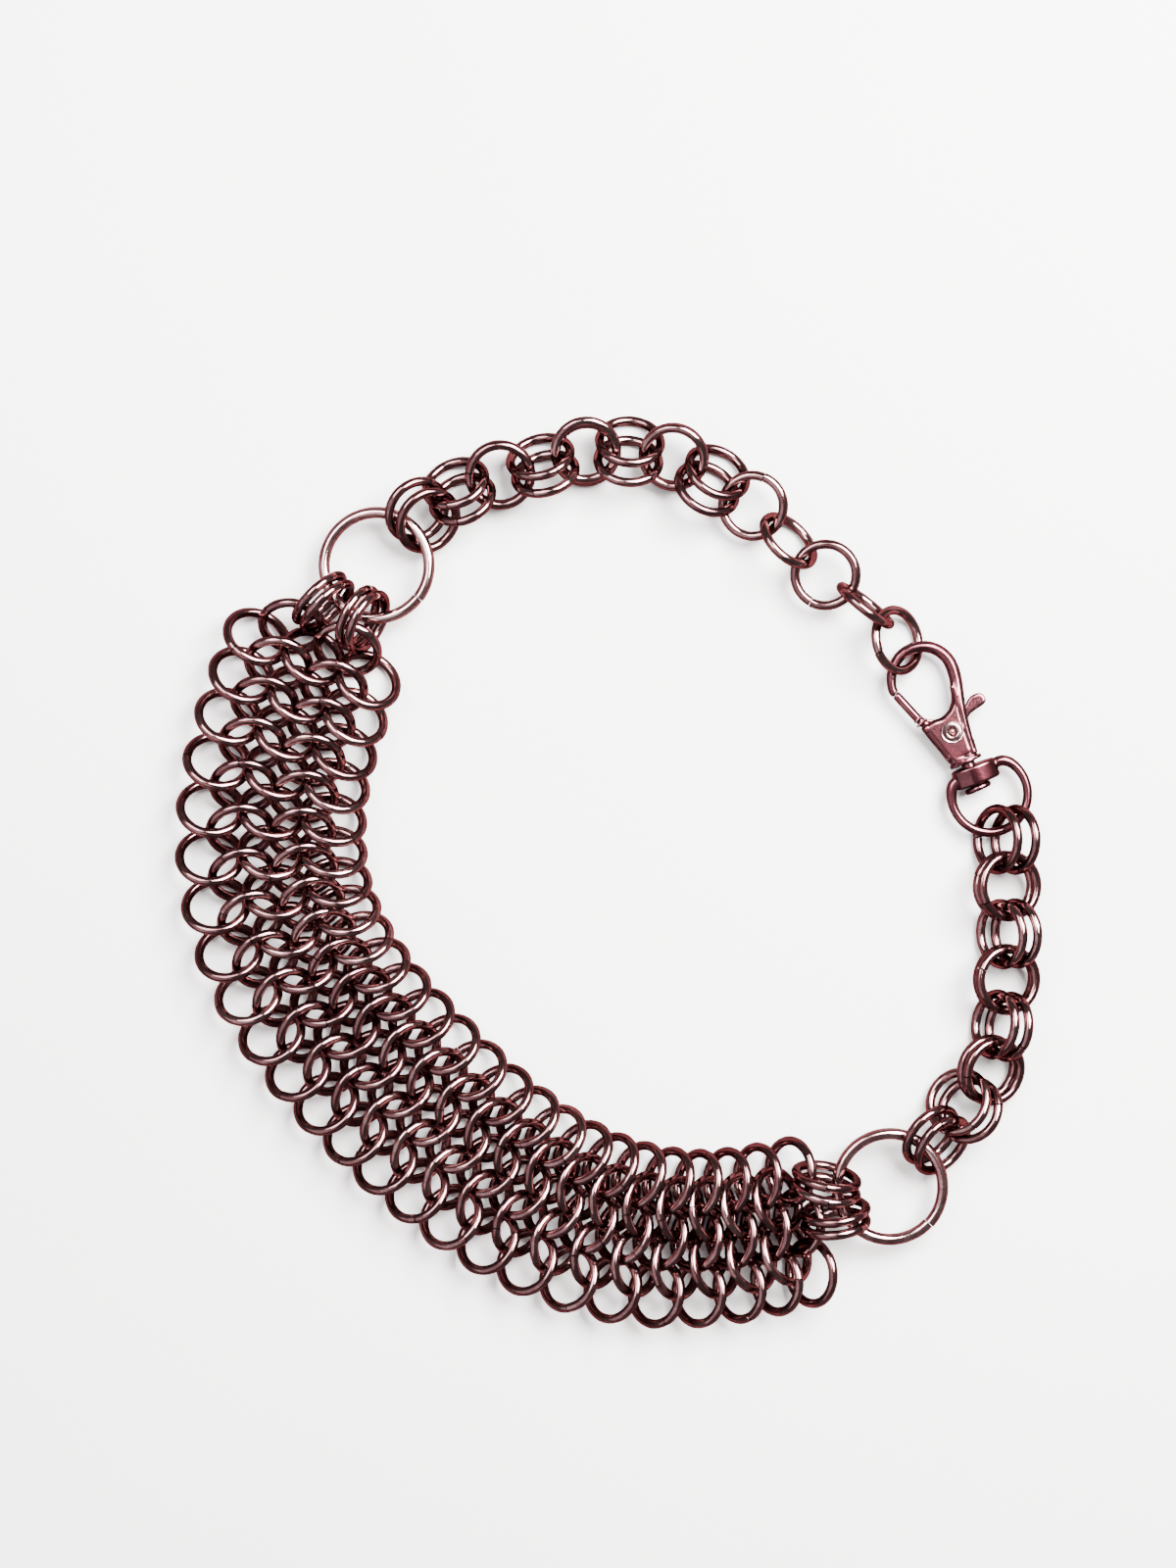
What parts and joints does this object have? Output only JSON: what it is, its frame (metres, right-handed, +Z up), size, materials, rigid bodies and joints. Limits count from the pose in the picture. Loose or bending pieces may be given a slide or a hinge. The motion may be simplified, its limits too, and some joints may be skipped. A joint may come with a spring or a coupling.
{
  "type": "chainmail choker",
  "caption": "Chainmail choker lying flat as a closed loop: a woven ring band, chains of paired links, two larger rings, an extension chain and a swivel snap hook with a sprung lever.",
  "frame": {"origin": "middle of the outline, on the surface that the choker lies on", "axes": "+Z up from that surface, +X from the band towards the clasp side, +Y from the band towards the left chain at the top"},
  "size_m": [0.1344, 0.1418, 0.0121],
  "materials": {
    "mail_steel": "dark tarnished steel, satin",
    "chain_steel": "dark tarnished steel, satin",
    "clasp_steel": "dark plated casting, half gloss",
    "lever_steel": "dark plated sheet, half gloss"
  },
  "bodies": {
    "choker": {"mail_band": "mail_steel", "left_connectors": "mail_steel", "right_connectors": "mail_steel", "left_big_ring": "chain_steel", "right_big_ring": "chain_steel", "left_link_01": "chain_steel", "left_link_02": "chain_steel", "left_link_03": "chain_steel", "left_link_04": "chain_steel", "left_link_05": "chain_steel", "left_link_06": "chain_steel", "left_link_07": "chain_steel", "left_link_08": "chain_steel", "left_link_09": "chain_steel", "left_link_10": "chain_steel", "left_link_11": "chain_steel", "left_link_12": "chain_steel", "left_link_13": "chain_steel", "left_link_14": "chain_steel", "left_link_15": "chain_steel", "left_link_16": "chain_steel", "right_link_01": "chain_steel", "right_link_02": "chain_steel", "right_link_03": "chain_steel", "right_link_04": "chain_steel", "right_link_05": "chain_steel", "right_link_06": "chain_steel", "right_link_07": "chain_steel", "right_link_08": "chain_steel", "right_link_09": "chain_steel", "right_link_10": "chain_steel", "right_link_11": "chain_steel", "right_link_12": "chain_steel", "right_link_13": "chain_steel", "right_link_14": "chain_steel", "right_link_15": "chain_steel", "right_link_16": "chain_steel", "extension_link_1": "chain_steel", "extension_link_2": "chain_steel", "extension_link_3": "chain_steel", "extension_link_4": "chain_steel", "extension_link_5": "chain_steel", "hook_body": "clasp_steel", "rivet": "clasp_steel", "swivel_eye": "clasp_steel"},
    "lever": {"lever": "lever_steel"}
  },
  "joints": [
    {"name": "lever_hinge", "type": "hinge", "parent": "choker", "child": "lever", "pos_m": [0.05335, 0.02152, 0.0028], "axis": [0, 0, -1], "range_deg": [0, 25], "stiffness_Nm_per_rad": 0.03, "springref_deg": -11.46}
  ]
}
